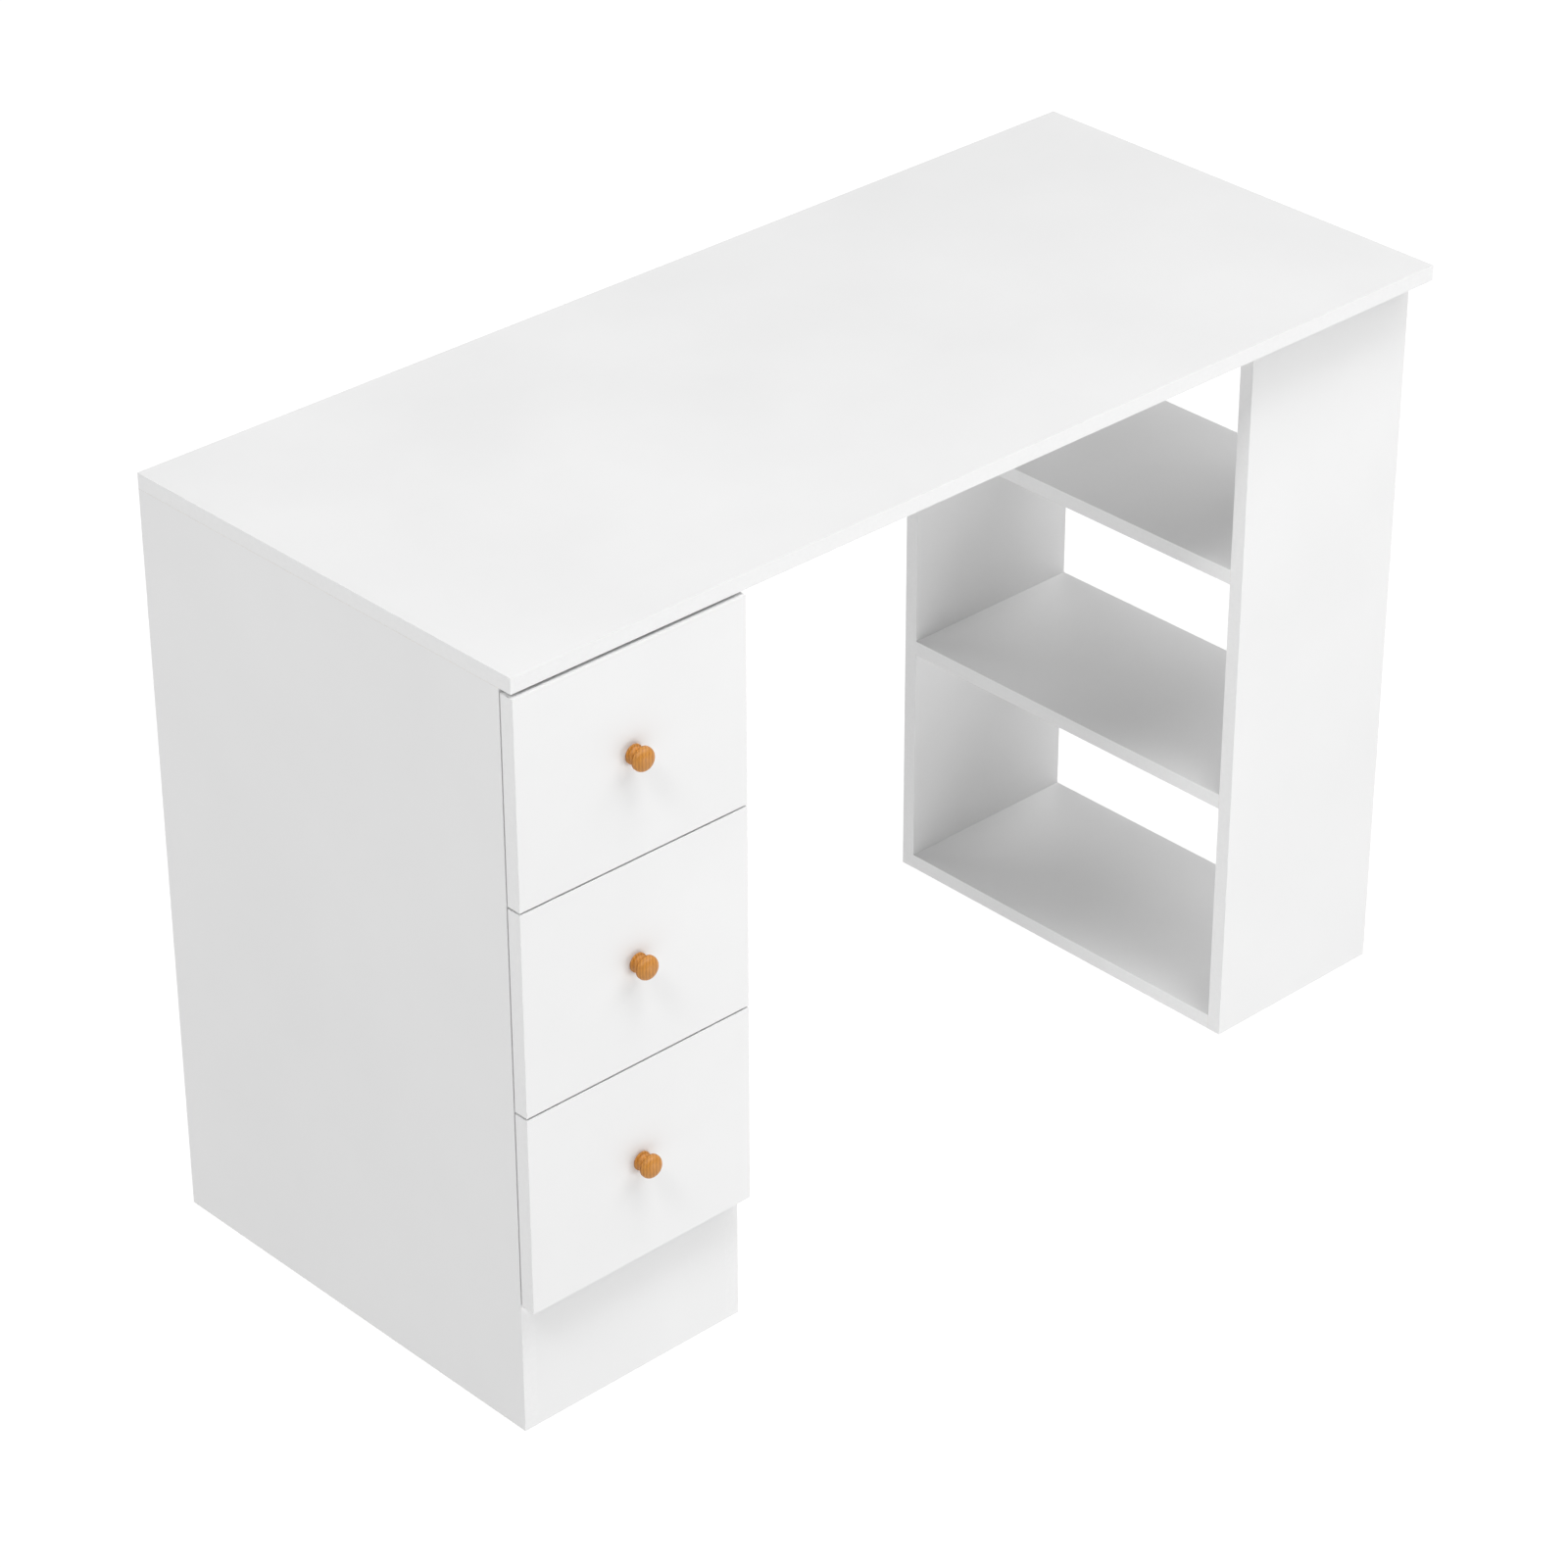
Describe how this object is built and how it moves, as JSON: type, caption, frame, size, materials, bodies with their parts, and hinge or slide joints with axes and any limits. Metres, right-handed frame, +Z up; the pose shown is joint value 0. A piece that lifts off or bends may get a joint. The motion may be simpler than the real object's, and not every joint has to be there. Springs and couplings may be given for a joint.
{
  "type": "desk",
  "caption": "Straight writing desk with a drawer cabinet under its left end and an open shelf unit under its right end.",
  "frame": {"origin": "on the floor, in the middle of the desk's bounding box, knobs included", "axes": "+X along the desk's width, from the drawer cabinet to the shelf unit; +Y from the drawer fronts towards the desk's back; +Z up"},
  "size_m": [1.1, 0.501, 0.75],
  "materials": {
    "white_board": "white melamine-faced chipboard with matching edging, satin",
    "drawer_board": "white melamine-faced chipboard, satin",
    "hardboard": "hardboard, white lacquer on the inner face, raw behind",
    "knob_wood": "turned pine, clear lacquer",
    "runner_steel": "white epoxy powder coat",
    "zinc_steel": "zinc plated",
    "nylon": "natural nylon, moulded"
  },
  "bodies": {
    "carcass": {"desktop": "white_board", "cabinet_side_outer": "white_board", "cabinet_side_inner": "white_board", "cabinet_bottom": "white_board", "plinth_front": "white_board", "plinth_rear": "white_board", "shelf_unit_front_panel": "white_board", "shelf_unit_rear_panel": "white_board", "shelf_bottom": "white_board", "shelf_middle": "white_board", "shelf_upper": "white_board", "rear_stretcher": "white_board", "cabinet_back": "hardboard", "lower_cabinet_runner_left": "runner_steel", "lower_cabinet_runner_right": "runner_steel", "middle_cabinet_runner_left": "runner_steel", "middle_cabinet_runner_right": "runner_steel", "upper_cabinet_runner_left": "runner_steel", "upper_cabinet_runner_right": "runner_steel"},
    "lower_drawer": {"lower_drawer_front": "white_board", "lower_drawer_side_left": "drawer_board", "lower_drawer_side_right": "drawer_board", "lower_drawer_back": "drawer_board", "lower_drawer_bottom": "hardboard", "lower_drawer_runner_left": "runner_steel", "lower_drawer_runner_right": "runner_steel", "lower_knob": "knob_wood", "lower_knob_screw": "zinc_steel"},
    "middle_drawer": {"middle_drawer_front": "white_board", "middle_drawer_side_left": "drawer_board", "middle_drawer_side_right": "drawer_board", "middle_drawer_back": "drawer_board", "middle_drawer_bottom": "hardboard", "middle_drawer_runner_left": "runner_steel", "middle_drawer_runner_right": "runner_steel", "middle_knob": "knob_wood", "middle_knob_screw": "zinc_steel"},
    "upper_drawer": {"upper_drawer_front": "white_board", "upper_drawer_side_left": "drawer_board", "upper_drawer_side_right": "drawer_board", "upper_drawer_back": "drawer_board", "upper_drawer_bottom": "hardboard", "upper_drawer_runner_left": "runner_steel", "upper_drawer_runner_right": "runner_steel", "upper_knob": "knob_wood", "upper_knob_screw": "zinc_steel"},
    "lower_front_roller_left": {"lower_front_roller_left": "nylon"},
    "lower_rear_roller_left": {"lower_rear_roller_left": "nylon"},
    "lower_front_roller_right": {"lower_front_roller_right": "nylon"},
    "lower_rear_roller_right": {"lower_rear_roller_right": "nylon"},
    "middle_front_roller_left": {"middle_front_roller_left": "nylon"},
    "middle_rear_roller_left": {"middle_rear_roller_left": "nylon"},
    "middle_front_roller_right": {"middle_front_roller_right": "nylon"},
    "middle_rear_roller_right": {"middle_rear_roller_right": "nylon"},
    "upper_front_roller_left": {"upper_front_roller_left": "nylon"},
    "upper_rear_roller_left": {"upper_rear_roller_left": "nylon"},
    "upper_front_roller_right": {"upper_front_roller_right": "nylon"},
    "upper_rear_roller_right": {"upper_rear_roller_right": "nylon"}
  },
  "joints": [
    {"name": "lower_drawer_slide", "type": "slide", "parent": "carcass", "child": "lower_drawer", "axis": [0, -1, 0], "range_m": [0, 0.3]},
    {"name": "middle_drawer_slide", "type": "slide", "parent": "carcass", "child": "middle_drawer", "axis": [0, -1, 0], "range_m": [0, 0.3]},
    {"name": "upper_drawer_slide", "type": "slide", "parent": "carcass", "child": "upper_drawer", "axis": [0, -1, 0], "range_m": [0, 0.3]},
    {"name": "lower_front_roller_left_spin", "type": "hinge", "parent": "carcass", "child": "lower_front_roller_left", "pos_m": [-0.529, -0.201, 0.16312], "axis": [1, 0, 0], "range_deg": [0, 2149]},
    {"name": "lower_rear_roller_left_spin", "type": "hinge", "parent": "lower_drawer", "child": "lower_rear_roller_left", "pos_m": [-0.5285, 0.1695, 0.16487], "axis": [1, 0, 0], "range_deg": [0, 1719]},
    {"name": "lower_front_roller_right_spin", "type": "hinge", "parent": "carcass", "child": "lower_front_roller_right", "pos_m": [-0.322, -0.201, 0.16312], "axis": [1, 0, 0], "range_deg": [0, 2149]},
    {"name": "lower_rear_roller_right_spin", "type": "hinge", "parent": "lower_drawer", "child": "lower_rear_roller_right", "pos_m": [-0.3225, 0.1695, 0.16487], "axis": [1, 0, 0], "range_deg": [0, 1719]},
    {"name": "middle_front_roller_left_spin", "type": "hinge", "parent": "carcass", "child": "middle_front_roller_left", "pos_m": [-0.529, -0.201, 0.36312], "axis": [1, 0, 0], "range_deg": [0, 2149]},
    {"name": "middle_rear_roller_left_spin", "type": "hinge", "parent": "middle_drawer", "child": "middle_rear_roller_left", "pos_m": [-0.5285, 0.1695, 0.36488], "axis": [1, 0, 0], "range_deg": [0, 1719]},
    {"name": "middle_front_roller_right_spin", "type": "hinge", "parent": "carcass", "child": "middle_front_roller_right", "pos_m": [-0.322, -0.201, 0.36312], "axis": [1, 0, 0], "range_deg": [0, 2149]},
    {"name": "middle_rear_roller_right_spin", "type": "hinge", "parent": "middle_drawer", "child": "middle_rear_roller_right", "pos_m": [-0.3225, 0.1695, 0.36488], "axis": [1, 0, 0], "range_deg": [0, 1719]},
    {"name": "upper_front_roller_left_spin", "type": "hinge", "parent": "carcass", "child": "upper_front_roller_left", "pos_m": [-0.529, -0.201, 0.56312], "axis": [1, 0, 0], "range_deg": [0, 2149]},
    {"name": "upper_rear_roller_left_spin", "type": "hinge", "parent": "upper_drawer", "child": "upper_rear_roller_left", "pos_m": [-0.5285, 0.1695, 0.56488], "axis": [1, 0, 0], "range_deg": [0, 1719]},
    {"name": "upper_front_roller_right_spin", "type": "hinge", "parent": "carcass", "child": "upper_front_roller_right", "pos_m": [-0.322, -0.201, 0.56312], "axis": [1, 0, 0], "range_deg": [0, 2149]},
    {"name": "upper_rear_roller_right_spin", "type": "hinge", "parent": "upper_drawer", "child": "upper_rear_roller_right", "pos_m": [-0.3225, 0.1695, 0.56488], "axis": [1, 0, 0], "range_deg": [0, 1719]}
  ],
  "couplings": [
    {"joint": "lower_front_roller_left_spin", "follows": "lower_drawer_slide", "rad_per_m": 125},
    {"joint": "lower_rear_roller_left_spin", "follows": "lower_drawer_slide", "rad_per_m": 100},
    {"joint": "lower_front_roller_right_spin", "follows": "lower_drawer_slide", "rad_per_m": 125},
    {"joint": "lower_rear_roller_right_spin", "follows": "lower_drawer_slide", "rad_per_m": 100},
    {"joint": "middle_front_roller_left_spin", "follows": "middle_drawer_slide", "rad_per_m": 125},
    {"joint": "middle_rear_roller_left_spin", "follows": "middle_drawer_slide", "rad_per_m": 100},
    {"joint": "middle_front_roller_right_spin", "follows": "middle_drawer_slide", "rad_per_m": 125},
    {"joint": "middle_rear_roller_right_spin", "follows": "middle_drawer_slide", "rad_per_m": 100},
    {"joint": "upper_front_roller_left_spin", "follows": "upper_drawer_slide", "rad_per_m": 125},
    {"joint": "upper_rear_roller_left_spin", "follows": "upper_drawer_slide", "rad_per_m": 100},
    {"joint": "upper_front_roller_right_spin", "follows": "upper_drawer_slide", "rad_per_m": 125},
    {"joint": "upper_rear_roller_right_spin", "follows": "upper_drawer_slide", "rad_per_m": 100}
  ]
}
